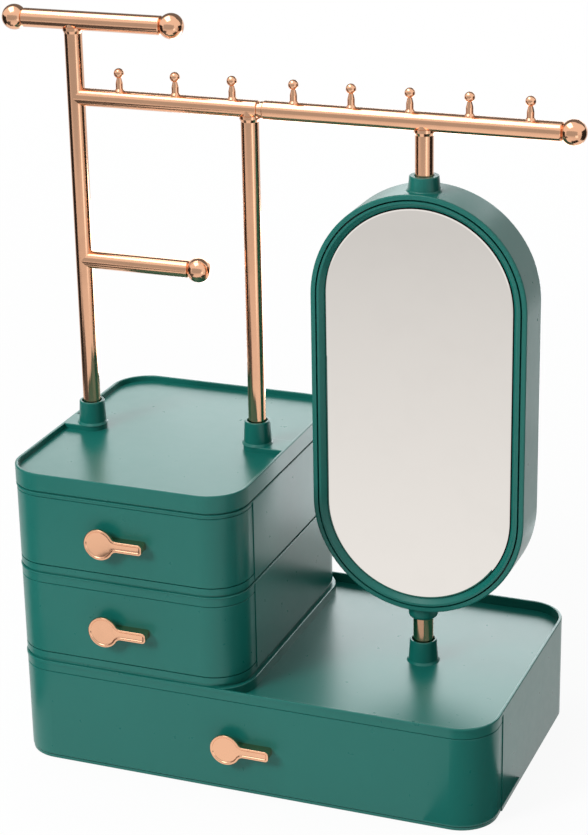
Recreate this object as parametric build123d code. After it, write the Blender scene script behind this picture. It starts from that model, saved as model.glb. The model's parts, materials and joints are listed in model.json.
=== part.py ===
from build123d import *
import math
import os

# Jewellery stand with drawers: a wide base unit with an open tray, two small drawer units
# stacked on its left, a lid tray on top of them, a tube rack with hooks for necklaces, and a
# mirror that turns about the rack's right-hand post.
# Millimetres, +Z up, front towards -Y. The origin is the middle of the underside.

# --- driving dimensions: plan of the three units --------------------------------------------
base_width = 270.0
base_depth = 160.0
corner_radius = 21.0
unit_width = 133.0             # small units, flush with the base's left end
side_seam_setback = 27.0       # side panels start this far behind the front face
front_rebate = 0.4             # rails and drawer fronts lie this far inside the side panels

# --- driving dimensions: heights -------------------------------------------------------------
base_height = 59.5             # to the top of the base's rim
base_rail_height = 5.9         # front band above the base drawer
base_tray_depth = 5.5
middle_height = 50.5
middle_rail_height = 5.3
upper_height = 45.6
upper_rail_height = 2.1
bottom_rail_height = 3.6       # strip below each small drawer
base_stack_gap = 1.8           # shadow gap under the middle unit
unit_stack_gap = 1.2           # shadow gap between the small units
lid_seam = 0.8
lid_height = 9.9
lid_tray_depth = 3.0

# --- walls and moulded details ---------------------------------------------------------------
wall = 2.4
rim_width = 1.8
rim_fillet = 0.6
panel_thickness = 1.6          # screwed panel under the base
panel_edge_inset = 0.8
panel_fit = 0.2
casing_lift = 0.4              # side walls stop this far above the table
stack_ring_inset = 1.2
stack_ring_width = 2.0
stack_step_height = 0.8
stack_fit = 0.4
platform_overhang = 2.0        # raised platform reaches this far past the small units
lid_skirt_recess = 1.2

# --- drawers -----------------------------------------------------------------------------------
front_thickness = 2.6
front_gap = 0.4                # seam round a drawer front
front_fillet = 0.4
running_gap = 0.3              # under a drawer
tray_wall = 1.8
tray_floor = 1.8
tray_back_gap = 4.0
base_tray_side_gap = 8.4       # leaves room for the screw bosses
small_tray_side_gap = 1.0
tray_top_gap = 2.0             # below the rail that the tray passes under

# --- drawer pulls --------------------------------------------------------------------------------
pull_disc_diameter = 17.2
pull_arm_width = 7.0
pull_length = 33.2
pull_thickness = 2.0
pull_rim = 1.1
pull_dish_depth = 0.7
pull_blend = 2.5
pull_standoff = 5.0
pull_foot_diameter = 5.4
pull_screw_diameter = 3.0
pull_screw_head = 5.4
pull_screw_head_height = 1.8
pull_thread_depth = 4.0
screw_fit = 0.1                # on a hole's diameter

# --- base panel screws ---------------------------------------------------------------------------
panel_screw_diameter = 2.6
panel_screw_head = 4.6
panel_screw_head_height = 1.0
panel_screw_length = 7.0
panel_boss_diameter = 5.0
panel_boss_height = 8.0
panel_boss_inset = 4.4         # from the side wall to the boss's centre
panel_boss_rib = 2.0
panel_boss_front_y = -40.0
panel_boss_back_y = 55.0

# --- rack ------------------------------------------------------------------------------------------
rack_tube_diameter = 9.5
rack_bar_diameter = 10.0       # top bar and right-hand bar
tube_wall = 0.9
left_post_inset = 15.5         # from the small units' left side
right_post_inset = 18.5        # from the small units' right side
mirror_offset = 76.0           # mirror's axis to the right of the small units
mirror_post_length = 27.5      # from the mirror's upper collar to the right bar's axis
top_bar_rise = 40.5            # above the middle bar's axis
lower_arm_drop = 89.7          # below the middle bar's axis
top_bar_left_reach = 34.0      # from the left post to the centres of the end balls
top_bar_right_reach = 56.5
lower_arm_reach = 67.5
right_bar_reach = 76.7         # past the mirror's axis
middle_bar_overhang = 4.9      # past the right post's axis
connector_neck = 3.1           # between the middle bar's end and the right bar's
connector_neck_diameter = 7.6
connector_ring_diameter = 9.0
connector_ring_width = 1.5
connector_fit = 0.1            # on the diameter
connector_insert = 14.0
ball_diameter = 13.5
ball_neck_diameter = 8.0
ball_neck_reach = 5.5          # a bar stops this far short of a ball's centre
ball_plug_length = 9.0
bar_end_fillet = 0.7
weld_flare = 0.7               # a post widens this much where it is welded under a bar
weld_flare_height = 1.6

# --- hooks on the bars -----------------------------------------------------------------------------
hook_ball_diameter = 5.4
hook_stem_diameter = 3.8
hook_neck_diameter = 2.4
hook_flare_diameter = 5.2
hook_flare_height = 1.0
hook_stem_height = 4.0
hook_ball_height = 9.2         # ball's centre above the bar
middle_hook_start = 25.5       # from the left post
middle_hook_pitch = 32.0
middle_hook_count = 3
right_hook_start = 16.4        # from the right bar's free end
right_hook_pitch = 31.2
right_hook_count = 5

# --- sockets for the posts -------------------------------------------------------------------------
lid_collar_top_diameter = 13.8
lid_collar_base_diameter = 15.2
lid_collar_height = 13.0       # above its pad
pad_width = 15.8
base_collar_top_diameter = 14.6
base_collar_base_diameter = 16.2
base_collar_height = 12.8
socket_fit = 0.1               # on the diameter
socket_mouth_width = 0.9       # dark ring round the tube at the mouth
socket_mouth_depth = 2.0
socket_floor = 1.3
boss_wall = 2.2
collar_edge = 0.5
collar_foot_width = 1.0        # small cove round a collar's foot
collar_foot_height = 1.2
collar_sink = 0.8              # the mirror's upper collar starts inside its round top
base_boss_depth = 3.3          # below the base's tray floor plate
lid_boss_depth = 3.9           # below the lid's floor plate

# --- mirror ------------------------------------------------------------------------------------------
mirror_width = 116.4
mirror_height = 230.6
mirror_lift = 28.6             # above the base's rim
mirror_front_y = -12.0
mirror_back_y = 16.5
mirror_back_fillet = 2.5
mirror_front_fillet = 0.8
shell_rim = 2.6
shell_ledge = 5.6
shell_back_wall = 2.4
bezel_gap = 0.9
bezel_depth = 5.8
bezel_flat = 1.2
bezel_opening_inset = 7.2
bezel_slope_depth = 2.4
backing_thickness = 2.0
backing_inset = 5.0
backing_fit = 0.2
glass_thickness = 2.4
glass_gap = 0.6
glass_bevel = 0.7
glass_bevel_depth = 0.3

# --- mirror pivot --------------------------------------------------------------------------------
lower_post_diameter = 10.9
lower_post_wall = 1.2
spindle_diameter = 6.0
bush_running_fit = 0.1         # on the diameter
bush_diameter = 9.0
bush_flange_thickness = 0.8
pivot_gap = 0.3                # between a tube's end and the bush's flange
tube_entry = 4.5               # length of tube inside the mirror's collars
collar_tube_clearance = 0.8    # on the diameter
upper_collar_top_diameter = 15.3
upper_collar_base_diameter = 17.0
upper_collar_height = 7.3
lower_neck_diameter = 16.0
lower_neck_height = 7.9
lower_neck_fillet = 2.5
collar_root = 6.0              # collars start this far inside the shell
spindle_insert = 22.0

# --- places worked out from the dimensions above -------------------------------------------------
front_y = -base_depth / 2
back_y = base_depth / 2
left_x = -base_width / 2
right_x = base_width / 2
unit_right_x = left_x + unit_width
unit_centre_x = left_x + unit_width / 2
side_front_y = front_y + side_seam_setback
front_inner = front_rebate + front_thickness
tray_front_y = front_y + front_inner

base_floor_z = base_height - base_tray_depth
base_ceiling_z = base_floor_z - wall
tray_corner_radius = corner_radius - front_inner
middle_z = base_height + base_stack_gap
middle_top_z = middle_z + middle_height
upper_z = middle_top_z + unit_stack_gap
upper_top_z = upper_z + upper_height
lid_z = upper_top_z + lid_seam
lid_top_z = lid_z + lid_height
lid_floor_z = lid_top_z - lid_tray_depth
lid_under_z = lid_floor_z - wall

mirror_bottom_z = base_height + mirror_lift
mirror_top_z = mirror_bottom_z + mirror_height
mirror_centre_z = mirror_bottom_z + mirror_height / 2
upper_collar_z = mirror_top_z + upper_collar_height
lower_neck_z = mirror_bottom_z - lower_neck_height
upper_tube_end_z = upper_collar_z - tube_entry
lower_tube_end_z = lower_neck_z + tube_entry
base_collar_top_z = base_floor_z + base_collar_height
lid_collar_top_z = lid_top_z + lid_collar_height
base_boss_z = base_ceiling_z - base_boss_depth
lid_boss_z = lid_under_z - lid_boss_depth
far = 2 * base_width           # longer than anything that is cut

middle_bar_z = upper_collar_z + mirror_post_length
top_bar_z = middle_bar_z + top_bar_rise
lower_arm_z = middle_bar_z - lower_arm_drop
left_post_x = left_x + left_post_inset
right_post_x = unit_right_x - right_post_inset
mirror_x = unit_right_x + mirror_offset
top_bar_left_x = left_post_x - top_bar_left_reach
top_bar_right_x = left_post_x + top_bar_right_reach
lower_arm_end_x = left_post_x + lower_arm_reach
middle_bar_end_x = right_post_x + middle_bar_overhang
right_bar_start_x = middle_bar_end_x + connector_neck
right_bar_end_x = mirror_x + right_bar_reach
middle_hook_x = [left_post_x + middle_hook_start + middle_hook_pitch * i
                 for i in range(middle_hook_count)]
right_hook_x = [right_bar_start_x + right_hook_start + right_hook_pitch * i
                for i in range(right_hook_count)]


# --- helpers -------------------------------------------------------------------------------------
def block(x0, x1, y0, y1, z0, z1):
    """Box between two corners."""
    centre = ((x0 + x1) / 2, (y0 + y1) / 2, (z0 + z1) / 2)
    return Pos(*centre) * Box(x1 - x0, y1 - y0, z1 - z0)


def rounded_slab(x0, x1, y0, y1, radius, z0, z1):
    """Upright slab with rounded corners in plan."""
    plan = RectangleRounded(x1 - x0, y1 - y0, radius)
    return Pos((x0 + x1) / 2, (y0 + y1) / 2, z0) * extrude(plan, amount=z1 - z0)


def unit_slab(x1, inset, z0, z1):
    """A unit's rounded outline, drawn in by inset on all sides."""
    return rounded_slab(left_x + inset, x1 - inset, front_y + inset, back_y - inset,
                        corner_radius - inset, z0, z1)


def rod(diameter, z0, z1, x, y=0.0):
    """Upright cylinder."""
    return Pos(x, y, z0) * extrude(Circle(diameter / 2), amount=z1 - z0)


def cone(bottom_diameter, top_diameter, z0, z1, x, y=0.0):
    """Upright cone frustum."""
    shape = Cone(bottom_diameter / 2, top_diameter / 2, z1 - z0)
    return Pos(x, y, (z0 + z1) / 2) * shape


def bar(diameter, x0, x1, z):
    """Level cylinder along X."""
    return Pos((x0 + x1) / 2, 0, z) * Rot(0, 90, 0) * Cylinder(diameter / 2, x1 - x0)


def collar(bottom_diameter, top_diameter, z0, z1, x):
    """Tapered collar with a rounded top edge and a small cove round its foot."""
    shape = fillet(edges_at(cone(bottom_diameter, top_diameter, z0, z1, x), z1), collar_edge)
    foot = bottom_diameter + 2 * collar_foot_width
    return shape + cone(foot, bottom_diameter, z0, z0 + collar_foot_height, x)


def front_hole(diameter, x, z, y0, y1):
    """Level cylinder along Y."""
    return Pos(x, (y0 + y1) / 2, z) * Rot(90, 0, 0) * Cylinder(diameter / 2, y1 - y0)


def tube_bore(diameter):
    return diameter - 2 * tube_wall


def edges_at(shape, z):
    return shape.edges().filter_by_position(Axis.Z, z - 0.01, z + 0.01)


# --- casings -------------------------------------------------------------------------------------
def ring_under(x1, z0, z1):
    """Foot ring under a small unit: it makes the shadow gap and locates the unit."""
    outer = unit_slab(x1, stack_ring_inset, z0, z1)
    return outer - unit_slab(x1, stack_ring_inset + stack_ring_width, z0, z1)


def locating_step(x1, z0):
    """Low step that the ring of the unit above fits around."""
    inset = stack_ring_inset + stack_ring_width + stack_fit
    return unit_slab(x1, inset, z0, z0 + stack_step_height)


def hollow_casing(shape, x1, z0, z1, floor_z, ceiling_z, rail_z, sill_z, rim=0.0):
    """Hollows a unit and opens its front between the sill and the rail. z0 to z1 is the unit."""
    cavity = rounded_slab(left_x + wall, x1 - wall, tray_front_y, back_y - wall,
                          corner_radius - wall, floor_z, ceiling_z)
    opening = block(-far, far, -far, side_front_y, sill_z, rail_z)
    if ceiling_z < rail_z:
        opening -= unit_slab(x1, front_inner + front_gap, ceiling_z, rail_z)
    skin = unit_slab(x1, 0, z0, z1 - rim) - unit_slab(x1, front_rebate, z0, z1 - rim)
    skin &= block(-far, far, -far, side_front_y, z0, z1)
    return shape - cavity - opening - skin


def make_base_casing():
    shape = unit_slab(right_x, 0, casing_lift, base_height)
    recess = unit_slab(right_x, rim_width, base_floor_z, base_height)
    platform_x = unit_right_x + platform_overhang
    recess -= unit_slab(platform_x, 0, base_floor_z, base_height)
    shape -= recess
    shape = fillet(edges_at(shape, base_height), rim_fillet)
    shape = hollow_casing(shape, right_x, casing_lift, base_height, casing_lift,
                          base_ceiling_z, base_height - base_rail_height, casing_lift,
                          rim_width)
    shape += locating_step(unit_right_x, base_height)
    shape += collar(base_collar_base_diameter, base_collar_top_diameter, base_floor_z,
                    base_collar_top_z, mirror_x)
    shape += rod(lower_post_diameter + 2 * boss_wall, base_boss_z, base_ceiling_z, mirror_x)
    shape -= socket(lower_post_diameter, mirror_x, base_collar_top_z,
                    base_boss_z + socket_floor)
    for x, y in panel_screw_places():
        wall_x = math.copysign(right_x - wall / 2, x)
        shape += block(min(x, wall_x), max(x, wall_x), y - panel_boss_rib / 2,
                       y + panel_boss_rib / 2, panel_thickness, panel_boss_height)
        shape += rod(panel_boss_diameter, panel_thickness, panel_boss_height, x, y)
        shape -= rod(panel_screw_diameter + screw_fit, panel_thickness,
                     panel_screw_length + screw_fit, x, y)
    return shape


def socket(tube_diameter, x, top_z, floor_z):
    """Bore for a post, with the wider mouth that shows as a dark ring."""
    bore = rod(tube_diameter + socket_fit, floor_z, top_z, x)
    mouth = tube_diameter + 2 * socket_mouth_width
    return bore + rod(mouth, top_z - socket_mouth_depth, top_z, x)


def panel_screw_places():
    x = right_x - wall - panel_boss_inset
    return [(sx * x, y) for sx in (-1, 1) for y in (panel_boss_front_y, panel_boss_back_y)]


def make_base_panel():
    """Flat panel that closes the base from below and shows as a thin lip at the front."""
    panel = unit_slab(right_x, wall + panel_fit, 0, panel_thickness)
    lip = unit_slab(right_x, panel_edge_inset, 0, panel_thickness)
    lip &= block(-far, far, -far, side_front_y - panel_fit, 0, panel_thickness)
    panel += lip
    for x, y in panel_screw_places():
        panel -= rod(panel_screw_diameter + screw_fit, 0, panel_thickness, x, y)
        panel -= rod(panel_screw_head + screw_fit, 0, panel_screw_head_height + screw_fit, x, y)
    return panel


def make_panel_screws():
    screws = []
    for x, y in panel_screw_places():
        head = rod(panel_screw_head, screw_fit, panel_screw_head_height + screw_fit, x, y)
        screws.append(head + rod(panel_screw_diameter, screw_fit, panel_screw_length, x, y))
    return screws


def make_small_casing(z0, height, rail_height, gap_below, step_above):
    z1 = z0 + height
    shape = unit_slab(unit_right_x, 0, z0, z1)
    shape = fillet(edges_at(shape, z0) + edges_at(shape, z1), rim_fillet)
    ceiling_z = z1 - min(wall, rail_height)
    sill_z = z0 + bottom_rail_height
    shape = hollow_casing(shape, unit_right_x, z0, z1, z0 + wall, ceiling_z,
                          z1 - rail_height, sill_z, rim_fillet)
    shape += ring_under(unit_right_x, z0 - gap_below, z0)
    for x in (left_x + unit_width / 4, unit_right_x - unit_width / 4):
        shape += block(x - wall, x + wall, tray_front_y, back_y - wall, z0 + wall, sill_z)
    if step_above:
        shape += step_above
    return shape


def lid_step():
    """Step on the upper casing that the lid's skirt fits around."""
    return unit_slab(unit_right_x, wall + stack_fit, upper_top_z,
                     upper_top_z + lid_skirt_recess)


def make_lid():
    shape = unit_slab(unit_right_x, 0, lid_z, lid_top_z)
    shape -= unit_slab(unit_right_x, rim_width, lid_floor_z, lid_top_z)
    for x, side_x in ((left_post_x, left_x + rim_width), (right_post_x, unit_right_x - rim_width)):
        pad = rod(pad_width, lid_floor_z, lid_top_z, x)
        pad += block(min(x, side_x), max(x, side_x), -pad_width / 2, pad_width / 2,
                     lid_floor_z, lid_top_z)
        shape += pad
    outer_foot = edges_at(shape, lid_z)
    shape = fillet(edges_at(shape, lid_top_z) + outer_foot, rim_fillet)
    shape -= unit_slab(unit_right_x, wall, lid_z, lid_under_z)
    shape += (unit_slab(unit_right_x, lid_skirt_recess, upper_top_z, lid_z)
              - unit_slab(unit_right_x, wall, upper_top_z, lid_z))
    for x in (left_post_x, right_post_x):
        shape += collar(lid_collar_base_diameter, lid_collar_top_diameter, lid_top_z,
                        lid_collar_top_z, x)
        shape += rod(rack_tube_diameter + 2 * boss_wall, lid_boss_z, lid_under_z, x)
        shape -= socket(rack_tube_diameter, x, lid_collar_top_z, lid_boss_z + socket_floor)
    return shape


# --- drawers -------------------------------------------------------------------------------------
def pull_feet_x(centre_x):
    """X of the two posts that hold a pull off the drawer front."""
    disc_x = centre_x - pull_length / 2 + pull_disc_diameter / 2
    arm_x = centre_x + pull_length / 2 - pull_arm_width / 2
    return disc_x, arm_x


def make_drawer_front(x1, z0, z1, centre_x):
    """Curved front that wraps round both corners to the side panels."""
    shape = unit_slab(x1, front_rebate, z0, z1)
    shape = fillet(edges_at(shape, z0) + edges_at(shape, z1), front_fillet)
    shape -= unit_slab(x1, front_inner, z0, z1)
    shape &= block(-far, far, -far, side_front_y - front_gap, z0, z1)
    for x in pull_feet_x(centre_x):
        shape -= front_hole(pull_screw_diameter + screw_fit, x, (z0 + z1) / 2,
                            front_y, tray_front_y)
    return shape


def make_drawer_tray(x1, side_gap, z0, z1, centre_x, front_z):
    """Open box behind a drawer front."""
    left = left_x + wall + side_gap
    right = x1 - wall - side_gap
    rear = back_y - wall - tray_back_gap
    shape = rounded_slab(left, right, tray_front_y, rear, tray_corner_radius, z0, z1)
    shape -= rounded_slab(left + tray_wall, right - tray_wall, tray_front_y + tray_wall,
                          rear - tray_wall, tray_corner_radius - tray_wall, z0 + tray_floor, z1)
    for x in pull_feet_x(centre_x):
        shape -= front_hole(pull_screw_diameter + screw_fit, x, front_z,
                            tray_front_y, tray_front_y + tray_wall)
    return shape


def make_pull(centre_x, z):
    """Dished keyhole plate on two posts."""
    face_y = front_y + front_rebate - pull_standoff
    disc_x, arm_x = pull_feet_x(centre_x)

    def outline(inset):
        disc = Pos(disc_x, z) * Circle(pull_disc_diameter / 2 - inset)
        arm_length = arm_x - disc_x
        arm = Pos(disc_x + arm_length / 2, z) * SlotCenterToCenter(
            arm_length, pull_arm_width - 2 * inset)
        plate = disc + arm
        inner_corners = plate.vertices().filter_by(
            lambda v: disc_x + inset < v.X < arm_x - pull_arm_width / 2)
        return fillet(inner_corners, pull_blend)

    def slice_at(inset, y0, y1):
        return extrude(Plane.XZ.offset(-y1) * outline(inset), amount=y1 - y0)

    plate = slice_at(0, face_y - pull_thickness, face_y)
    plate = fillet(plate.edges().filter_by_position(
        Axis.Y, face_y - pull_thickness - 0.01, face_y - pull_thickness + 0.01), 0.4)
    plate -= slice_at(pull_rim, face_y - pull_thickness, face_y - pull_thickness + pull_dish_depth)
    for x in (disc_x, arm_x):
        plate += front_hole(pull_foot_diameter, x, z, face_y, front_y + front_rebate)
        plate -= front_hole(pull_screw_diameter + screw_fit, x, z,
                            front_y + front_rebate - pull_thread_depth, front_y + front_rebate)
    return plate


def make_pull_screws(centre_x, z):
    screws = []
    inner_y = tray_front_y + tray_wall
    tip_y = front_y + front_rebate - pull_thread_depth + screw_fit
    for x in pull_feet_x(centre_x):
        screw = front_hole(pull_screw_diameter, x, z, tip_y, inner_y)
        screws.append(screw + front_hole(pull_screw_head, x, z, inner_y,
                                         inner_y + pull_screw_head_height))
    return screws


# --- rack ------------------------------------------------------------------------------------------
def make_post(diameter, bore, x, z0, top_z, top_diameter):
    """Upright tube, coped at the top to sit under a bar, with a slight weld flare there."""
    joint_z = top_z - top_diameter / 2
    flare = cone(diameter, diameter + 2 * weld_flare, joint_z - weld_flare_height,
                 joint_z, x)
    flare += rod(diameter + 2 * weld_flare, joint_z, joint_z + weld_flare_height, x)
    post = rod(diameter, z0, top_z, x) + flare - rod(bore, z0, top_z, x)
    return post - bar(top_diameter, x - diameter, x + diameter, top_z)


def make_bar(diameter, x0, x1, z, free_ends):
    """Level tube, rounded at the ends that free_ends names by their X."""
    outer = bar(diameter, x0, x1, z)
    ends = [edge for x in free_ends
            for edge in outer.edges().filter_by_position(Axis.X, x - 0.01, x + 0.01)]
    return fillet(ends, bar_end_fillet) - bar(tube_bore(diameter), x0, x1, z)


def make_ball(diameter, x, z, bar_side):
    """End ball, with a neck and a plug for a bar that comes from bar_side (-1 or +1)."""
    end_x = x + bar_side * ball_neck_reach
    plug_x = end_x + bar_side * ball_plug_length
    half = ball_diameter / 2
    beyond = Pos(end_x + bar_side * half, 0, z) * Box(ball_diameter, ball_diameter, ball_diameter)
    ball = Pos(x, 0, z) * Sphere(half) - beyond
    neck = bar(ball_neck_diameter, min(x, end_x), max(x, end_x), z)
    plug = bar(tube_bore(diameter) - connector_fit, min(x, plug_x), max(x, plug_x), z)
    return ball + neck + plug


def make_hooks(xs, bar_diameter):
    """Small turned pegs with a ball, standing on a bar."""
    foot_z = middle_bar_z + bar_diameter / 2
    ball_z = foot_z + hook_ball_height
    ball_r = hook_ball_diameter / 2
    neck_r = hook_neck_diameter / 2
    neck_z = ball_z - math.sqrt(ball_r ** 2 - neck_r ** 2)
    with BuildPart() as peg:
        with BuildSketch(Plane.XZ):
            with BuildLine():
                Polyline((0, middle_bar_z), (hook_flare_diameter / 2, middle_bar_z),
                         (hook_flare_diameter / 2, foot_z),
                         (hook_stem_diameter / 2, foot_z + hook_flare_height),
                         (hook_stem_diameter / 2, foot_z + hook_stem_height),
                         (neck_r, neck_z))
                ThreePointArc((neck_r, neck_z), (ball_r, ball_z), (0, ball_z + ball_r))
                Line((0, ball_z + ball_r), (0, middle_bar_z))
            make_face()
        revolve(axis=Axis.Z)
    hooks = []
    for x in xs:
        hook = Pos(x, 0, 0) * peg.part
        hooks.append(hook - bar(bar_diameter, x - bar_diameter, x + bar_diameter, middle_bar_z))
    return hooks


def make_connector():
    """Plug that joins the middle bar to the right-hand bar and shows as a neck and a ring."""
    left_bore = tube_bore(rack_tube_diameter) - connector_fit
    right_bore = tube_bore(rack_bar_diameter) - connector_fit
    shape = bar(left_bore, middle_bar_end_x - connector_insert, middle_bar_end_x, middle_bar_z)
    shape += bar(connector_neck_diameter, middle_bar_end_x, right_bar_start_x, middle_bar_z)
    shape += bar(connector_ring_diameter, right_bar_start_x - connector_ring_width,
                 right_bar_start_x, middle_bar_z)
    shape += bar(right_bore, right_bar_start_x, right_bar_start_x + connector_insert,
                 middle_bar_z)
    return shape


# --- mirror ------------------------------------------------------------------------------------------
def mirror_slice(inset, y0, y1):
    """Slice of the mirror's upright rounded outline, drawn in by inset."""
    outline = Pos(mirror_x, mirror_centre_z) * SlotOverall(
        mirror_height - 2 * inset, mirror_width - 2 * inset, rotation=90)
    return extrude(Plane.XZ.offset(-y1) * outline, amount=y1 - y0)


def edges_at_y(shape, y):
    return shape.edges().filter_by_position(Axis.Y, y - 0.01, y + 0.01)


def make_mirror_shell():
    shape = mirror_slice(0, mirror_front_y, mirror_back_y)
    shape = fillet(edges_at_y(shape, mirror_back_y), mirror_back_fillet)
    shape = fillet(edges_at_y(shape, mirror_front_y), mirror_front_fillet)
    foot_z = mirror_top_z - collar_sink
    foot_diameter = upper_collar_base_diameter + 2 * collar_foot_width
    neck = rod(foot_diameter, mirror_top_z - collar_root, foot_z, mirror_x)
    shape += neck + collar(upper_collar_base_diameter, upper_collar_top_diameter, foot_z,
                           upper_collar_z, mirror_x)
    neck = rod(lower_neck_diameter, lower_neck_z, mirror_bottom_z + collar_root, mirror_x)
    shape += fillet(edges_at(neck, lower_neck_z), lower_neck_fillet)
    ledge_y = mirror_front_y + bezel_depth
    shape -= mirror_slice(shell_rim, mirror_front_y, ledge_y)
    shape -= mirror_slice(shell_ledge, ledge_y, mirror_back_y - shell_back_wall)
    shape -= rod(bush_diameter, lower_neck_z, upper_collar_z, mirror_x)
    shape -= rod(rack_tube_diameter + collar_tube_clearance, upper_bush_seat_z,
                 upper_collar_z, mirror_x)
    shape -= rod(lower_post_diameter + collar_tube_clearance, lower_neck_z,
                 lower_bush_seat_z, mirror_x)
    return shape


upper_bush_seat_z = upper_tube_end_z - pivot_gap - bush_flange_thickness
lower_bush_seat_z = lower_tube_end_z + pivot_gap + bush_flange_thickness


def make_bush(seat_z, flange_z, inner_z, flange_diameter):
    """Flanged plastic bush that turns on the spindle."""
    shape = rod(bush_diameter, min(seat_z, inner_z), max(seat_z, inner_z), mirror_x)
    shape += rod(flange_diameter, min(seat_z, flange_z), max(seat_z, flange_z), mirror_x)
    return shape - rod(spindle_diameter + bush_running_fit, mirror_bottom_z - mirror_height,
                       mirror_top_z + mirror_height, mirror_x)


def make_bezel():
    """Ring round the glass, sloping in from the shell's rim."""
    ledge_y = mirror_front_y + bezel_depth
    outer_inset = shell_rim + bezel_gap
    shape = mirror_slice(outer_inset, mirror_front_y, ledge_y)
    shape -= mirror_slice(bezel_opening_inset, mirror_front_y, ledge_y)
    slope = bezel_opening_inset - outer_inset - bezel_flat
    inner = edges_at_y(shape, mirror_front_y).filter_by(
        lambda e: abs(e.center().X - mirror_x) < mirror_width / 2 - outer_inset - bezel_flat
        and abs(e.center().Z - mirror_centre_z) < mirror_height / 2 - outer_inset - bezel_flat)
    face = shape.faces().filter_by(Axis.Y).sort_by(Axis.Y)[0]
    shape = chamfer(inner, length=slope, length2=bezel_slope_depth, reference=face)
    shape -= mirror_slice(backing_inset - backing_fit, ledge_y - backing_thickness, ledge_y)
    return shape


def make_glass():
    """Plain glass with a bevelled front edge, glued to its backing."""
    back = mirror_front_y + bezel_depth - backing_thickness
    front = back - glass_thickness
    shape = mirror_slice(bezel_opening_inset + glass_gap, front, back)
    edge = edges_at_y(shape, front)
    face = shape.faces().filter_by(Axis.Y).sort_by(Axis.Y)[0]
    return chamfer(edge, length=glass_bevel, length2=glass_bevel_depth, reference=face)


def make_backing():
    back = mirror_front_y + bezel_depth
    return mirror_slice(backing_inset, back - backing_thickness, back)


def make_spindle():
    """Steel pin through the mirror that carries the rack's upper tube."""
    shape = rod(spindle_diameter, lower_tube_end_z, upper_tube_end_z, mirror_x)
    lower_bore = lower_post_diameter - 2 * lower_post_wall
    shape += rod(lower_bore - connector_fit, lower_tube_end_z - spindle_insert,
                 lower_tube_end_z, mirror_x)
    shape += rod(tube_bore(rack_tube_diameter) - connector_fit, upper_tube_end_z,
                 upper_tube_end_z + spindle_insert, mirror_x)
    return shape


# --- all nodes -------------------------------------------------------------------------------------
def drawer_nodes(name, x1, centre_x, side_gap, sill_z, rail_z, tray_top_z):
    front_z0 = sill_z + front_gap
    front_z1 = rail_z - front_gap
    pull_z = (front_z0 + front_z1) / 2
    return {
        name + "_drawer_front": make_drawer_front(x1, front_z0, front_z1, centre_x),
        name + "_drawer_tray": make_drawer_tray(x1, side_gap, sill_z + running_gap, tray_top_z,
                                                centre_x, pull_z),
        name + "_drawer_pull": make_pull(centre_x, pull_z),
        name + "_pull_screws": make_pull_screws(centre_x, pull_z),
    }


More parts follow.
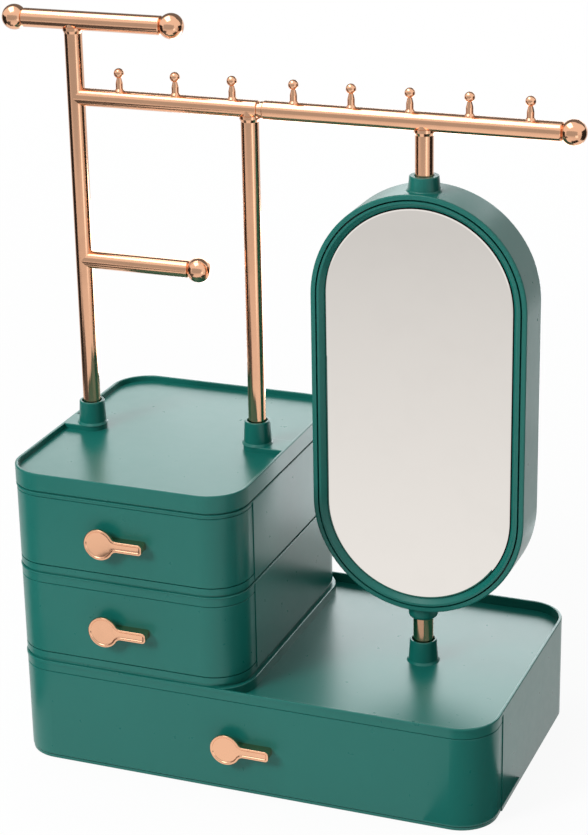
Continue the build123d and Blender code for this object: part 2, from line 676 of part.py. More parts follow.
def make_nodes():
    nodes = {
        "base_casing": make_base_casing(),
        "base_bottom_panel": make_base_panel(),
        "base_panel_screws": make_panel_screws(),
        "middle_casing": make_small_casing(
            middle_z, middle_height, middle_rail_height, base_stack_gap,
            locating_step(unit_right_x, middle_top_z)),
        "upper_casing": make_small_casing(
            upper_z, upper_height, upper_rail_height, unit_stack_gap, lid_step()),
        "lid_tray": make_lid(),
    }
    nodes.update(drawer_nodes(
        "base", right_x, 0.0, base_tray_side_gap, panel_thickness,
        base_height - base_rail_height, base_boss_z - tray_top_gap))
    nodes.update(drawer_nodes(
        "middle", unit_right_x, unit_centre_x, small_tray_side_gap,
        middle_z + bottom_rail_height, middle_top_z - middle_rail_height,
        middle_top_z - middle_rail_height - tray_top_gap))
    nodes.update(drawer_nodes(
        "upper", unit_right_x, unit_centre_x, small_tray_side_gap,
        upper_z + bottom_rail_height, upper_top_z - upper_rail_height,
        upper_top_z - upper_rail_height - tray_top_gap))

    rack_bore = tube_bore(rack_tube_diameter)
    post_foot_z = lid_boss_z + socket_floor
    left_post_shape = rod(rack_tube_diameter, post_foot_z, top_bar_z, left_post_x)
    nodes["left_post"] = make_post(rack_tube_diameter, rack_bore, left_post_x, post_foot_z,
                                   top_bar_z, rack_bar_diameter)
    nodes["right_post"] = make_post(rack_tube_diameter, rack_bore, right_post_x, post_foot_z,
                                    middle_bar_z, rack_tube_diameter)
    left_end_x = top_bar_left_x + ball_neck_reach
    right_end_x = top_bar_right_x - ball_neck_reach
    nodes["top_bar"] = make_bar(rack_bar_diameter, left_end_x, right_end_x, top_bar_z,
                                (left_end_x, right_end_x))
    nodes["top_bar_balls"] = [make_ball(rack_bar_diameter, top_bar_left_x, top_bar_z, 1),
                              make_ball(rack_bar_diameter, top_bar_right_x, top_bar_z, -1)]
    nodes["middle_bar"] = make_bar(rack_tube_diameter, left_post_x, middle_bar_end_x,
                                   middle_bar_z, (middle_bar_end_x,)) - left_post_shape
    nodes["middle_bar_hooks"] = make_hooks(middle_hook_x, rack_tube_diameter)
    arm_end_x = lower_arm_end_x - ball_neck_reach
    nodes["lower_arm"] = make_bar(rack_tube_diameter, left_post_x, arm_end_x,
                                  lower_arm_z, (arm_end_x,)) - left_post_shape
    nodes["lower_arm_ball"] = make_ball(rack_tube_diameter, lower_arm_end_x, lower_arm_z, -1)
    nodes["bar_connector"] = make_connector()
    right_bar_far_x = right_bar_end_x - ball_neck_reach
    nodes["right_bar"] = make_bar(rack_bar_diameter, right_bar_start_x, right_bar_far_x,
                                  middle_bar_z, (right_bar_start_x, right_bar_far_x))
    nodes["right_bar_hooks"] = make_hooks(right_hook_x, rack_bar_diameter)
    nodes["right_bar_ball"] = make_ball(rack_bar_diameter, right_bar_end_x, middle_bar_z, -1)

    nodes["mirror_upper_post"] = make_post(rack_tube_diameter, rack_bore, mirror_x,
                                           upper_tube_end_z, middle_bar_z, rack_bar_diameter)
    lower_foot_z = base_boss_z + socket_floor
    lower_bore = lower_post_diameter - 2 * lower_post_wall
    nodes["mirror_lower_post"] = (
        rod(lower_post_diameter, lower_foot_z, lower_tube_end_z, mirror_x)
        - rod(lower_bore, lower_foot_z, lower_tube_end_z, mirror_x))
    nodes["mirror_spindle"] = make_spindle()
    nodes["mirror_shell"] = make_mirror_shell()
    nodes["mirror_bezel"] = make_bezel()
    nodes["mirror_glass"] = make_glass()
    nodes["mirror_backing"] = make_backing()
    nodes["mirror_upper_bush"] = make_bush(
        upper_bush_seat_z, upper_tube_end_z - pivot_gap, mirror_top_z - shell_ledge,
        rack_tube_diameter)
    nodes["mirror_lower_bush"] = make_bush(
        lower_bush_seat_z, lower_tube_end_z + pivot_gap, mirror_bottom_z + shell_ledge,
        lower_post_diameter)
    return nodes


def solids_of(shape):
    """The separate solids of a node, whatever it was made as."""
    pieces = shape if isinstance(shape, list) else [shape]
    return [solid for piece in pieces for solid in piece.solids()]


os.makedirs("parts", exist_ok=True)
for node, shape in make_nodes().items():
    solids = solids_of(shape)
    body = solids[0] if len(solids) == 1 else Compound(children=solids)
    export_step(body, "parts/" + node + ".step")
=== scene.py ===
# %% [markdown]
# # A dressing-table stand with drawers, a necklace rack and a turning mirror
# The solid model arrives finished: every box, tube, hook and drawer already has its real
# shape and size. What Blender adds is how the stand looks, which means two main finishes,
# glossy green moulded plastic and polished rose-gold plating, then silvered glass, and the
# three drawer pulls, whose dished plates are shaped here. The first cell loads the solids.

# %% Load the solid model
import bpy
import json
import math
from mathutils import Matrix, Vector


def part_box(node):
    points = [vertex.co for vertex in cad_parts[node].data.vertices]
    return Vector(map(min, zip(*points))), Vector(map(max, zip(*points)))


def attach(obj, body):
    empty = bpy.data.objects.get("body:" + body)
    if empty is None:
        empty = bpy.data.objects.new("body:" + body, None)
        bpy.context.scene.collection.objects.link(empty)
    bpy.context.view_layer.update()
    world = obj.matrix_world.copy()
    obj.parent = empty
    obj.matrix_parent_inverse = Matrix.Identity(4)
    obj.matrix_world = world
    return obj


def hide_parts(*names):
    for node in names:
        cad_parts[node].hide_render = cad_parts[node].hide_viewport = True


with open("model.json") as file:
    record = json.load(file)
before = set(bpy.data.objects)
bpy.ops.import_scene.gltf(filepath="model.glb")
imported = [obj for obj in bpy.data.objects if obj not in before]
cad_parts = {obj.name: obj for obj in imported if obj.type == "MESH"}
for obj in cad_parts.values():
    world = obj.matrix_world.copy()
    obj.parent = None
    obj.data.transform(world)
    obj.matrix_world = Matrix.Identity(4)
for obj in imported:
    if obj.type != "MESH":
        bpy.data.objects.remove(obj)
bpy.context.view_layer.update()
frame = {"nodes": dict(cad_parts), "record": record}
nodes = frame["nodes"]
print("loaded", len(nodes), "solid pieces")

# %% [markdown]
# ## A shader group for a moulded surface
# Injection-moulded plastic is never optically flat. It has a very shallow, slow waviness
# left by the mould, a fine haze that changes the gloss from place to place, and a colour
# that drifts very slightly. Three materials use these, so they are made once as a node
# group with named inputs. The other way would be to copy the noise nodes into each
# material, which is harder to keep alike.

# %% Helpers for node groups
def new_group(name, inputs, outputs):
    """An empty shader group with its named sockets, given as (name, kind, value)."""
    group = bpy.data.node_groups.new(name, "ShaderNodeTree")
    for socket_name, kind, value in inputs:
        socket = group.interface.new_socket(socket_name, in_out="INPUT", socket_type=kind)
        if value is not None:
            socket.default_value = value
    for socket_name, kind in outputs:
        group.interface.new_socket(socket_name, in_out="OUTPUT", socket_type=kind)
    group.nodes.new("NodeGroupInput").name = "in"
    group.nodes.new("NodeGroupOutput").name = "out"
    return group


def add(tree, kind, **values):
    """A node with some of its settings or inputs filled in by name."""
    node = tree.nodes.new(kind)
    for key, value in values.items():
        if hasattr(node, key):
            setattr(node, key, value)
        else:
            node.inputs[key.replace("_", " ")].default_value = value
    return node


# %% Moulded surface: slow waviness, haze and faint colour drift
WAVES_PER_METRE = 9.0
HAZE_PER_METRE = 160.0
WAVE_HEIGHT = 0.0012


def make_moulded_group():
    """Colour, roughness and normal of a moulding, from two noises in object space."""
    group = new_group(
        "moulded surface",
        [("Color", "NodeSocketColor", (0.0, 0.1, 0.08, 1.0)),
         ("Gloss roughness", "NodeSocketFloat", 0.2),
         ("Haze", "NodeSocketFloat", 0.05),
         ("Colour drift", "NodeSocketFloat", 0.06),
         ("Waviness", "NodeSocketFloat", 0.05)],
        [("Color", "NodeSocketColor"), ("Roughness", "NodeSocketFloat"),
         ("Normal", "NodeSocketVector")])
    links = group.links
    source, target = group.nodes["in"], group.nodes["out"]
    place = add(group, "ShaderNodeTexCoord")

    slow = add(group, "ShaderNodeTexNoise", Scale=WAVES_PER_METRE, Detail=2.0, Roughness=0.5)
    links.new(place.outputs["Object"], slow.inputs["Vector"])
    fine = add(group, "ShaderNodeTexNoise", Scale=HAZE_PER_METRE, Detail=4.0, Roughness=0.6)
    links.new(place.outputs["Object"], fine.inputs["Vector"])

    drift = add(group, "ShaderNodeMapRange", From_Min=0.3, From_Max=0.7, To_Min=-1.0, To_Max=1.0)
    links.new(slow.outputs["Fac"], drift.inputs["Value"])
    amount = add(group, "ShaderNodeMath", operation="MULTIPLY")
    links.new(drift.outputs["Result"], amount.inputs[0])
    links.new(source.outputs["Colour drift"], amount.inputs[1])
    level = add(group, "ShaderNodeMath", operation="ADD")
    level.inputs[1].default_value = 1.0
    links.new(amount.outputs[0], level.inputs[0])
    tint = add(group, "ShaderNodeVectorMath", operation="SCALE")
    links.new(source.outputs["Color"], tint.inputs[0])
    links.new(level.outputs[0], tint.inputs["Scale"])
    links.new(tint.outputs[0], target.inputs["Color"])

    haze = add(group, "ShaderNodeMath", operation="MULTIPLY")
    links.new(fine.outputs["Fac"], haze.inputs[0])
    links.new(source.outputs["Haze"], haze.inputs[1])
    rough = add(group, "ShaderNodeMath", operation="ADD")
    links.new(haze.outputs[0], rough.inputs[0])
    links.new(source.outputs["Gloss roughness"], rough.inputs[1])
    links.new(rough.outputs[0], target.inputs["Roughness"])

    ripple = add(group, "ShaderNodeBump", Distance=WAVE_HEIGHT)
    links.new(slow.outputs["Fac"], ripple.inputs["Height"])
    links.new(source.outputs["Waviness"], ripple.inputs["Strength"])
    links.new(ripple.outputs["Normal"], target.inputs["Normal"])
    return group


moulded = make_moulded_group()
print("moulded surface group has", len(moulded.nodes), "nodes")

# %% [markdown]
# ## A shader group for handled metal
# Polished plating keeps a very fine grain, which tilts the normal a little, and fingers
# leave soft smudges, which change the roughness and the tone. They are made as masks in a
# group because the tubes, the pulls, the pin and the screws all have them, in different
# amounts. The mirror's glass takes only the tone.

# %% Handled metal: fine polishing grain and smudges
SMUDGES_PER_METRE = 55.0
GRAIN_PER_METRE = 900.0
GRAIN_HEIGHT = 0.0001


def make_metal_group():
    """Colour, roughness and normal of polished metal that hands have touched."""
    group = new_group(
        "handled metal",
        [("Color", "NodeSocketColor", (0.8, 0.5, 0.35, 1.0)),
         ("Polish roughness", "NodeSocketFloat", 0.1),
         ("Smudges", "NodeSocketFloat", 0.1),
         ("Grain", "NodeSocketFloat", 0.03),
         ("Tone change", "NodeSocketFloat", 0.06)],
        [("Color", "NodeSocketColor"), ("Roughness", "NodeSocketFloat"),
         ("Normal", "NodeSocketVector")])
    links = group.links
    source, target = group.nodes["in"], group.nodes["out"]
    place = add(group, "ShaderNodeTexCoord")

    smudge = add(
        group, "ShaderNodeTexNoise", Scale=SMUDGES_PER_METRE, Detail=3.0, Roughness=0.55)
    links.new(place.outputs["Object"], smudge.inputs["Vector"])
    spots = add(group, "ShaderNodeMapRange", From_Min=0.48, From_Max=0.72)
    links.new(smudge.outputs["Fac"], spots.inputs["Value"])
    grain = add(group, "ShaderNodeTexNoise", Scale=GRAIN_PER_METRE, Detail=2.0, Roughness=0.5)
    links.new(place.outputs["Object"], grain.inputs["Vector"])

    spread = add(group, "ShaderNodeMath", operation="MULTIPLY_ADD")
    links.new(spots.outputs["Result"], spread.inputs[0])
    links.new(source.outputs["Smudges"], spread.inputs[1])
    links.new(source.outputs["Polish roughness"], spread.inputs[2])
    links.new(spread.outputs[0], target.inputs["Roughness"])

    darker = add(group, "ShaderNodeMath", operation="MULTIPLY")
    links.new(spots.outputs["Result"], darker.inputs[0])
    links.new(source.outputs["Tone change"], darker.inputs[1])
    level = add(group, "ShaderNodeMath", operation="SUBTRACT")
    level.inputs[0].default_value = 1.0
    links.new(darker.outputs[0], level.inputs[1])
    tint = add(group, "ShaderNodeVectorMath", operation="SCALE")
    links.new(source.outputs["Color"], tint.inputs[0])
    links.new(level.outputs[0], tint.inputs["Scale"])
    links.new(tint.outputs[0], target.inputs["Color"])

    scratch = add(group, "ShaderNodeBump", Distance=GRAIN_HEIGHT)
    links.new(grain.outputs["Fac"], scratch.inputs["Height"])
    links.new(source.outputs["Grain"], scratch.inputs["Strength"])
    links.new(scratch.outputs["Normal"], target.inputs["Normal"])
    return group


handled = make_metal_group()
print("handled metal group has", len(handled.nodes), "nodes")


# %% A material around a group
def material_from(name, group, group_values, shader_values, varied=("Roughness", "Normal")):
    """A Principled material that takes its colour and the varied sockets from a group."""
    material = bpy.data.materials.new(name)
    material.use_nodes = True
    tree = material.node_tree
    shader = tree.nodes["Principled BSDF"]
    surface = tree.nodes.new("ShaderNodeGroup")
    surface.node_tree = group
    for key, value in group_values.items():
        surface.inputs[key].default_value = value
    for key, value in shader_values.items():
        shader.inputs[key].default_value = value
    tree.links.new(surface.outputs["Color"], shader.inputs["Base Color"])
    for socket_name in varied:
        tree.links.new(surface.outputs[socket_name], shader.inputs[socket_name])
    return material


# %% [markdown]
# ## Green moulded plastic
# The boxes and the mirror's housing are one deep blue-green plastic with a satin gloss.
# Seen straight on it is dark, and seen at a shallow angle, as on the trays and the side
# walls, it takes on the pale studio. A second, clear coat could add that sheen, but the
# plastic has none, and the shader's own Fresnel already does it with one layer, so the
# base colour stays the true one.

# %% Green plastic
green_plastic = material_from(
    "green plastic", moulded,
    {"Color": (0.007, 0.143, 0.117, 1.0), "Gloss roughness": 0.25, "Haze": 0.08,
     "Colour drift": 0.04, "Waviness": 0.04},
    {"IOR": 1.42})
print("made", green_plastic.name)

# %% [markdown]
# ## Rose-gold plating
# The rack, its hooks and the pulls are polished and plated. A metal has no colour of its
# own under the reflections, so the base colour is the tint of what it mirrors, and the
# contrast comes from pale and dark cards around the stand, set up further down.

# %% Rose gold
rose_gold = material_from(
    "rose gold plating", handled,
    {"Color": (0.88, 0.485, 0.30, 1.0), "Polish roughness": 0.13, "Smudges": 0.05,
     "Grain": 0.02, "Tone change": 0.05},
    {"Metallic": 1.0})
print("made", rose_gold.name)

# %% Steel for the pin and the screws
bright_steel = material_from(
    "turned steel", handled,
    {"Color": (0.55, 0.55, 0.56, 1.0), "Polish roughness": 0.25, "Smudges": 0.15,
     "Grain": 0.2, "Tone change": 0.1},
    {"Metallic": 1.0})
print("made", bright_steel.name)

# %% [markdown]
# ## Glass, backing and bushes
# A mirror is glass with silver behind it, and at this size it can be one metallic surface
# with no roughness at all and a faint warm-grey tint. The board behind it and the plastic
# bushes hardly show, but each still has the moulded surface, because the part can be seen
# from any side and with its drawers out.

# %% Silvered glass
silver_glass = material_from(
    "silvered glass", handled,
    {"Color": (0.81, 0.77, 0.725, 1.0), "Tone change": 0.012},
    {"Metallic": 1.0, "Roughness": 0.0}, varied=())
print("made", silver_glass.name)

# %% Backing board and bushes
backing_board = material_from(
    "backing board", moulded,
    {"Color": (0.012, 0.013, 0.013, 1.0), "Gloss roughness": 0.7, "Haze": 0.15,
     "Colour drift": 0.2, "Waviness": 0.1},
    {"IOR": 1.45})
bush_plastic = material_from(
    "bush plastic", moulded,
    {"Color": (0.62, 0.61, 0.56, 1.0), "Gloss roughness": 0.45, "Haze": 0.1,
     "Colour drift": 0.05, "Waviness": 0.03},
    {"IOR": 1.5})
print("made", backing_board.name, "and", bush_plastic.name)

# %% [markdown]
# ## Dressing the solids
# Every solid names the slot of its finish in the model's own record. A table from slot to
# material is enough to dress them all, and nothing is named twice.

# %% Assign the materials
finishes = {
    "green_plastic": green_plastic,
    "rose_gold": rose_gold,
    "mirror_glass": silver_glass,
    "backing_board": backing_board,
    "bush_plastic": bush_plastic,
    "pin_steel": bright_steel,
    "screw_steel": bright_steel,
}
slot_of = {part["node"]: part["material_slot"] for part in frame["record"]["subparts"]}
for name, solid in nodes.items():
    solid.data.materials.clear()
    solid.data.materials.append(finishes[slot_of[name]])
print("dressed", len(slot_of), "pieces with", len(finishes), "finishes")

# %% [markdown]
# ## The drawer pulls
# Each pull is a small die-cast piece: a round plate with an arm, a raised rim that follows
# the whole outline, and a long foot behind the arm that holds it off the drawer. It could
# be two cylinders and a box pushed into each other, but then the rim would stop where they
# meet. Here one disc grows its arm out of its own edge, so one inset draws the whole rim.

# %% Select by place and step into edit mode
def pick(piece, kind, test):
    """Edit mode with only the vertices, edges or faces that pass the test selected."""
    bpy.ops.object.mode_set(mode="EDIT")
    bpy.ops.mesh.select_mode(type=kind)
    bpy.ops.mesh.select_all(action="DESELECT")
    bpy.ops.object.mode_set(mode="OBJECT")
    mesh = piece.data
    for item in {"VERT": mesh.vertices, "EDGE": mesh.edges, "FACE": mesh.polygons}[kind]:
        item.select = test(item)
    bpy.ops.object.mode_set(mode="EDIT")


def only(piece):
    """Select one object alone and make it the active one."""
    bpy.ops.object.select_all(action="DESELECT")
    piece.select_set(True)
    bpy.context.view_layer.objects.active = piece


# %% Measures of a pull, in metres
PULL_THICKNESS = 0.0020
ARM_END_ROUND = 0.0020
NECK_BLEND = 0.0019
RIM_WIDTH = 0.0011
DISH_SLOPE = 0.0004
DISH_DEPTH = 0.0007
EDGE_ROUND = 0.00035
FOOT_HALF_HEIGHT = 0.0024
FOOT_END_GAP = 0.0005
RING_STEP = math.radians(5.0)
ARM_ANGLE = 4 * RING_STEP
FLAT_ENOUGH = math.radians(1.0)
SHARP_EDGE = math.radians(40.0)
SMOOTH_BELOW = math.radians(32.0)
NEAR = 0.00005
print("the plate is", 1000 * PULL_THICKNESS, "mm thick, its rim", 1000 * RIM_WIDTH, "mm wide")


# %% The plate: a disc that grows its arm
def pull_plate(low, high):
    """The dished plate in the box of a pull, with its disc's X and its middle height."""
    radius = (high[2] - low[2]) / 2
    middle = (high[2] + low[2]) / 2
    disc_x = low[0] + radius
    bpy.ops.object.select_all(action="DESELECT")
    bpy.ops.mesh.primitive_circle_add(
        vertices=round(2 * math.pi / RING_STEP), radius=radius, fill_type="NGON",
        location=(disc_x, low[1], middle), rotation=(math.radians(90.0), 0.0, 0.0))
    plate = bpy.context.object
    bpy.ops.object.transform_apply(location=True, rotation=True, scale=True)
    half_arm = radius * math.sin(ARM_ANGLE)
    points = plate.data.vertices

    def on_arm(index):
        place = points[index].co
        return place.x > disc_x and abs(place.z - middle) < half_arm + NEAR

    def at_angle(vertex, angle):
        target_x = disc_x + radius * math.cos(angle)
        target_z = radius * math.sin(angle)
        return (abs(vertex.co.x - target_x) < NEAR
                and abs(abs(vertex.co.z - middle) - target_z) < NEAR)

    pick(plate, "EDGE", lambda edge: all(on_arm(index) for index in edge.vertices))
    bpy.ops.mesh.extrude_region_move(
        TRANSFORM_OT_translate={"value": (high[0] - disc_x, 0.0, 0.0)})
    bpy.ops.transform.resize(value=(0.0, 1.0, 1.0), center_override=(high[0], low[1], middle))
    pick(plate, "FACE", lambda face: True)
    bpy.ops.mesh.dissolve_faces()
    pick(plate, "FACE", lambda face: True)
    bpy.ops.mesh.dissolve_limited(angle_limit=FLAT_ENOUGH)
    pick(plate, "VERT", lambda vertex: at_angle(vertex, ARM_ANGLE + RING_STEP)
         or at_angle(vertex, ARM_ANGLE + 2 * RING_STEP))
    bpy.ops.mesh.dissolve_verts()
    pick(plate, "VERT", lambda vertex: at_angle(vertex, ARM_ANGLE))
    bpy.ops.mesh.bevel(offset=NECK_BLEND, segments=5, affect="VERTICES")
    pick(plate, "VERT", lambda vertex: vertex.co.x > high[0] - NEAR)
    bpy.ops.mesh.bevel(offset=ARM_END_ROUND, segments=6, affect="VERTICES")
    pick(plate, "FACE", lambda face: True)
    bpy.ops.mesh.extrude_region_move(
        TRANSFORM_OT_translate={"value": (0.0, PULL_THICKNESS, 0.0)})
    bpy.ops.mesh.select_all(action="SELECT")
    bpy.ops.mesh.normals_make_consistent(inside=False)
    pick(plate, "FACE", lambda face: face.normal.y < -0.9)
    bpy.ops.mesh.inset(thickness=RIM_WIDTH, depth=0.0)
    bpy.ops.mesh.inset(thickness=DISH_SLOPE, depth=-DISH_DEPTH)
    bpy.ops.object.mode_set(mode="OBJECT")
    rounding = plate.modifiers.new("edge round", "BEVEL")
    rounding.width = EDGE_ROUND
    rounding.segments = 3
    rounding.limit_method = "ANGLE"
    rounding.angle_limit = SHARP_EDGE
    bpy.ops.object.modifier_apply(modifier=rounding.name)
    return plate, disc_x, middle


# %% The foot behind the arm, joined to the plate
def add_foot(plate, disc_x, middle, low, high):
    """A rounded block from the plate's back to the drawer, united with the plate."""
    front = low[1] + PULL_THICKNESS / 2
    length = high[0] - FOOT_END_GAP - disc_x
    bpy.ops.object.select_all(action="DESELECT")
    bpy.ops.mesh.primitive_cube_add(
        size=1.0, scale=(length, high[1] - front, 2 * FOOT_HALF_HEIGHT),
        location=(disc_x + length / 2, (high[1] + front) / 2, middle))
    foot = bpy.context.object
    bpy.ops.object.transform_apply(location=True, rotation=True, scale=True)
    corners = foot.data.vertices
    pick(foot, "EDGE", lambda edge: abs(corners[edge.vertices[0]].co.y
                                        - corners[edge.vertices[1]].co.y) > NEAR)
    bpy.ops.mesh.bevel(offset=ARM_END_ROUND / 2, segments=4, affect="EDGES")
    bpy.ops.object.mode_set(mode="OBJECT")
    only(plate)
    union = plate.modifiers.new("foot", "BOOLEAN")
    union.operation = "UNION"
    union.object = foot
    bpy.ops.object.modifier_apply(modifier=union.name)
    bpy.data.objects.remove(foot)
    bpy.ops.object.shade_smooth_by_angle(angle=SMOOTH_BELOW)


# %% One pull, then its two copies
def dress_pull(piece, drawer):
    """Name and plate a pull, and let it stand for the plain one of its drawer."""
    node = drawer + "_drawer_pull"
    piece.name = drawer + "_pull_casting"
    piece.data.materials.clear()
    piece.data.materials.append(rose_gold)
    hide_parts(node)
    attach(piece, drawer + "_drawer")


pull_low, pull_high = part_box("base_drawer_pull")
base_pull, disc_x, pull_z = pull_plate(pull_low, pull_high)
add_foot(base_pull, disc_x, pull_z, pull_low, pull_high)
dress_pull(base_pull, "base")
for drawer in ("middle", "upper"):
    only(base_pull)
    twin = base_pull.copy()
    twin.data = base_pull.data.copy()
    bpy.context.scene.collection.objects.link(twin)
    offset = Vector(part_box(drawer + "_drawer_pull")[0]) - Vector(pull_low)
    twin.data.transform(Matrix.Translation(offset))
    dress_pull(twin, drawer)
print("a pull has", len(base_pull.data.polygons), "faces")

# %% [markdown]
# ## Studio: a pale floor and a white surround
# The stand is photographed on white. A floor that is lit only by lamps turns grey at its
# far end, so most of its white comes from its own material, for what the camera, metal
# and glass see. The rest is a plain diffuse white that keeps the soft shadow. The white
# that reflections see falls a little away from the stand, which is what shades the mirror
# from bottom to top, and it rises again far off, where the floor meets the white world.

# %% Helpers for the studio's own materials
WHITE = (1.0, 1.0, 1.0, 1.0)


def empty_material(name):
    """A new material with nothing in its node tree."""
    material = bpy.data.materials.new(name)
    material.use_nodes = True
    material.node_tree.nodes.clear()
    return material


def larger(tree, first, second):
    """The larger of two values, which for two masks is where either of them is on."""
    node = add(tree, "ShaderNodeMath", operation="MAXIMUM")
    tree.links.new(first, node.inputs[0])
    tree.links.new(second, node.inputs[1])
    return node.outputs[0]


def fade(tree, distance, near, far, at_near, at_far):
    """A value that goes from one level to another between two distances in metres."""
    node = add(tree, "ShaderNodeMapRange",
               From_Min=near, From_Max=far, To_Min=at_near, To_Max=at_far)
    tree.links.new(distance, node.inputs["Value"])
    return node.outputs["Result"]


def mix_by(tree, share, first, second):
    """Mix two shaders by a share and make the result the material's surface."""
    mixed = add(tree, "ShaderNodeMixShader")
    tree.links.new(share, mixed.inputs["Fac"])
    tree.links.new(first, mixed.inputs[1])
    tree.links.new(second, mixed.inputs[2])
    target = add(tree, "ShaderNodeOutputMaterial")
    tree.links.new(mixed.outputs[0], target.inputs["Surface"])


# %% Floor
FLOOR_SIZE = 12.0
bpy.ops.object.select_all(action="DESELECT")
bpy.ops.mesh.primitive_plane_add(size=FLOOR_SIZE, location=(0.0, 0.0, 0.0))
floor = bpy.context.object
floor.name = "studio_floor"
floor_finish = empty_material("studio floor")
tree = floor_finish.node_tree
ray = add(tree, "ShaderNodeLightPath")
glance = larger(tree, ray.outputs["Is Glossy Ray"], ray.outputs["Is Transmission Ray"])
place = add(tree, "ShaderNodeTexCoord")
reach = add(tree, "ShaderNodeVectorMath", operation="LENGTH")
tree.links.new(place.outputs["Object"], reach.inputs[0])
distance = reach.outputs["Value"]

# The glow's share of what the camera sees: near the stand, some paper keeps the shadow.
share = add(tree, "ShaderNodeMath", operation="MULTIPLY_ADD")
tree.links.new(ray.outputs["Is Camera Ray"], share.inputs[0])
tree.links.new(fade(tree, distance, 0.5, 1.6, 0.93, 1.0), share.inputs[1])
tree.links.new(glance, share.inputs[2])

# The glow's strength in reflections: it falls near the stand and rises again far off.
reflected = add(tree, "ShaderNodeMath", operation="ADD")
tree.links.new(fade(tree, distance, 0.24, 1.0, 1.0, 0.76), reflected.inputs[0])
tree.links.new(fade(tree, distance, 1.1, 4.5, 0.0, 0.24), reflected.inputs[1])

paper = add(tree, "ShaderNodeBsdfDiffuse", Color=(0.95, 0.95, 0.95, 1.0))
glow = add(tree, "ShaderNodeEmission", Color=WHITE)
tree.links.new(larger(tree, reflected.outputs[0], ray.outputs["Is Camera Ray"]),
               glow.inputs["Strength"])
mix_by(tree, share.outputs[0], paper.outputs[0], glow.outputs[0])
floor.data.materials.append(floor_finish)
print("the floor is", FLOOR_SIZE, "m wide")

# %% World: white to look at, softer as a light
LIGHT_OF_WORLD = 0.3
world = bpy.data.worlds.new("studio")
bpy.context.scene.world = world
world.use_nodes = True
tree = world.node_tree
tree.nodes.clear()
ray = add(tree, "ShaderNodeLightPath")
seen = larger(tree, ray.outputs["Is Camera Ray"], ray.outputs["Is Glossy Ray"])
seen = larger(tree, seen, ray.outputs["Is Transmission Ray"])
strength = add(tree, "ShaderNodeMapRange", To_Min=LIGHT_OF_WORLD, To_Max=1.0)
tree.links.new(seen, strength.inputs["Value"])
sky = add(tree, "ShaderNodeBackground", Color=WHITE)
tree.links.new(strength.outputs["Result"], sky.inputs["Strength"])
target = add(tree, "ShaderNodeOutputWorld")
tree.links.new(sky.outputs[0], target.inputs["Surface"])
print("as a light, the world is at", LIGHT_OF_WORLD)

# %% [markdown]
# ## Soft lamps and cards
# A soft lamp at the front left shapes the fronts and gives the pulls their shadows, one
# overhead lights the trays, and one behind draws their pale sheen. Polished metal in a
# white room would look flat, so a product photographer stands cards round the object.
# Here the tall dark ones give the tubes their dark lines, the bright ones lighten the
# side walls and the far ends of the trays, and the flat ones on the floor darken the ends
# of the fronts. A small one over the wide tray lights the mirror's lower post, which would
# otherwise show only green. It glows only on the post's side, so the tray doesn't mirror
# it in the photograph's view. Lamps could do part of this, but a card changes only what
# is reflected.

# %% Lamps
def soft_lamp(name, place, aim, width, height, watts):
    """A rectangular area lamp at a place, turned towards its aim."""
    light = bpy.data.lights.new(name, "AREA")
    light.shape = "RECTANGLE"
    light.size = width
    light.size_y = height
    light.energy = watts
    lamp = bpy.data.objects.new(name, light)
    bpy.context.scene.collection.objects.link(lamp)
    lamp.location = place
    toward = Vector(aim) - Vector(place)
    lamp.rotation_euler = toward.to_track_quat("-Z", "Y").to_euler()
    return lamp


key = soft_lamp("key lamp", (-0.75, -1.15, 0.95), (-0.02, 0.0, 0.10), 0.45, 0.45, 14.5)
key.visible_glossy = False
soft_lamp("top lamp", (-0.45, -0.27, 1.5), (-0.05, -0.05, 0.2), 1.2, 0.7, 7.5)
back_lamp = soft_lamp("back lamp", (-0.30, 1.5, 0.82), (0.0, 0.0, 0.1), 1.4, 0.75, 7.5)
back_lamp.data.color = (0.90, 0.98, 1.0)
print("the key lamp gives", key.data.energy, "W")

# %% One card, which only soft reflections see
COOL_WHITE = (0.93, 0.98, 1.0, 1.0)


def card(name, centre, turn, tilt, width, height, strength, one_sided=False):
    """An upright card turned about Z and tilted back, in degrees, at a strength.

    The camera, the shadows and a true mirror miss it. A one-sided card glows only
    on the side that its face looks to.
    """
    bpy.ops.object.select_all(action="DESELECT")
    bpy.ops.mesh.primitive_plane_add(
        size=1.0, location=centre,
        rotation=(math.radians(90.0 + tilt), 0.0, math.radians(turn)))
    panel = bpy.context.object
    panel.name = name
    panel.scale = (width, height, 1.0)
    finish = empty_material(name)
    tree = finish.node_tree
    ray = add(tree, "ShaderNodeLightPath")
    unseen = ray.outputs["Is Singular Ray"]
    if one_sided:
        side = add(tree, "ShaderNodeNewGeometry")
        unseen = larger(tree, unseen, side.outputs["Backfacing"])
    glow = add(tree, "ShaderNodeEmission", Color=COOL_WHITE, Strength=strength)
    clear = add(tree, "ShaderNodeBsdfTransparent")
    mix_by(tree, unseen, glow.outputs[0], clear.outputs[0])
    finish.cycles.emission_sampling = "NONE"
    panel.data.materials.append(finish)
    panel.visible_camera = False
    panel.visible_diffuse = False
    panel.visible_shadow = False
    panel.visible_transmission = False


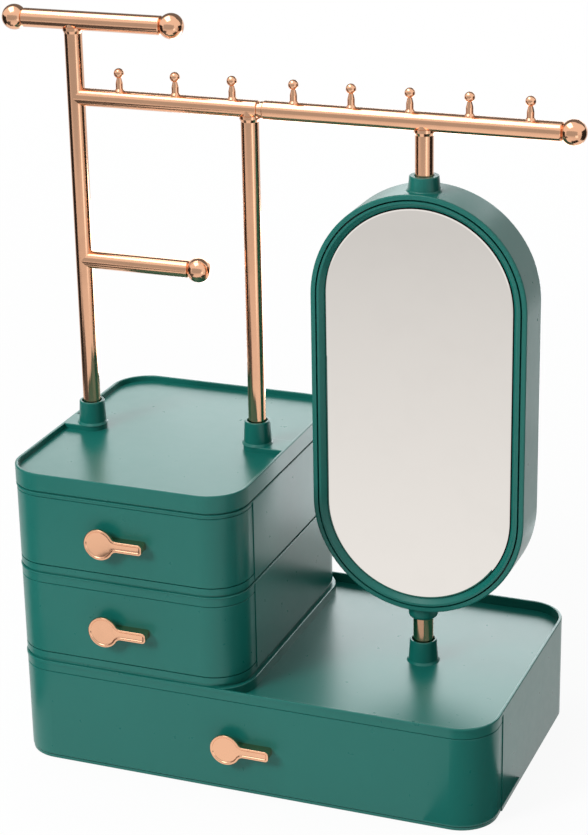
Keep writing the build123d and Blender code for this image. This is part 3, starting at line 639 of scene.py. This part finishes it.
# %% The cards: name, centre, turn, tilt, width, height and strength
FLAT = -90.0
CARDS = [
    ("left_dark_card", (-0.62, -0.10, 0.22), 90.0, 0.0, 0.56, 0.44, 0.03),
    ("right_dark_card", (0.47, 0.20, 0.22), -80.0, 0.0, 0.50, 0.44, 0.03),
    ("upper_dark_card", (-0.25, 0.25, 0.70), 0.0, 0.0, 1.3, 0.58, 0.20),
    ("front_grey_card", (0.0, -1.15, 0.45), 0.0, 0.0, 2.6, 0.90, 0.55),
    ("right_bright_card", (0.54, -0.46, 0.12), 45.0, 0.0, 0.24, 0.24, 1.6),
    ("low_bright_card", (0.0, 0.27, 0.045), 0.0, 0.0, 0.32, 0.09, 2.9),
    ("tray_bright_card", (-0.02, 0.27, 0.155), 0.0, 0.0, 0.36, 0.13, 5.6),
    ("left_floor_card", (-0.455, -0.36, 0.002), 0.0, FLAT, 0.34, 0.48, 0.10),
    ("left_corner_card", (-0.27, -0.14, 0.003), 0.0, FLAT, 0.20, 0.13, 0.10),
    ("post_card", (0.058, -0.035, 0.0625), 180.0, 0.0, 0.06, 0.019, 0.55),
    ("right_corner_card", (0.25, -0.12, 0.003), 0.0, FLAT, 0.30, 0.20, 0.03),
]
for settings in CARDS:
    card(*settings, one_sided=settings[0] == "post_card")
print("set up", len(CARDS), "cards")

# %% [markdown]
# ## Camera
# The camera stands in front of the stand, a little to its right and above it, far enough
# away that the verticals stay nearly parallel. Its place comes from the stand's own
# straight edges. A small roll and a small shift put the object where it is in the frame.

# %% Where the camera stands, fitted to the stand's straight edges
AZIMUTH = math.radians(21.945)
ELEVATION = math.radians(20.866)
ROLL = math.radians(-1.224)
DISTANCE = 1.2534
AIM = (-0.006883, 0.0, 0.18804)
FOCAL_PIXELS = 2332.6
SHIFT = (0.0161, -0.0059)
FRAME_HEIGHT_PIXELS = 835.0
SENSOR_MM = 36.0


# %% Camera
def set_camera(azimuth, elevation, roll, distance, aim, shift):
    """A camera on a sphere round its aim, rolled about its own line of sight."""
    data = bpy.data.cameras.new("studio camera")
    camera = bpy.data.objects.new("studio camera", data)
    bpy.context.scene.collection.objects.link(camera)
    back = Vector((math.sin(azimuth) * math.cos(elevation),
                   -math.cos(azimuth) * math.cos(elevation), math.sin(elevation)))
    level_right = Vector((math.cos(azimuth), math.sin(azimuth), 0.0))
    level_up = back.cross(level_right)
    right = level_right * math.cos(roll) + level_up * math.sin(roll)
    up = level_up * math.cos(roll) - level_right * math.sin(roll)
    turn = Matrix((right, up, back)).transposed()
    camera.matrix_world = Matrix.Translation(Vector(aim) + back * distance) @ turn.to_4x4()
    data.lens = FOCAL_PIXELS * SENSOR_MM / FRAME_HEIGHT_PIXELS
    data.shift_x, data.shift_y = shift
    bpy.context.scene.camera = camera
    return camera


camera = set_camera(AZIMUTH, ELEVATION, ROLL, DISTANCE, AIM, SHIFT)
print("lens", round(camera.data.lens, 1), "mm")

# %% [markdown]
# ## Finish
# The view transform stays plain, so a colour renders as it is written. The sizes of the
# solids and of the dressed stand are written side by side, to show that they agree.

# %% Finish
bpy.context.scene.view_settings.view_transform = "Standard"
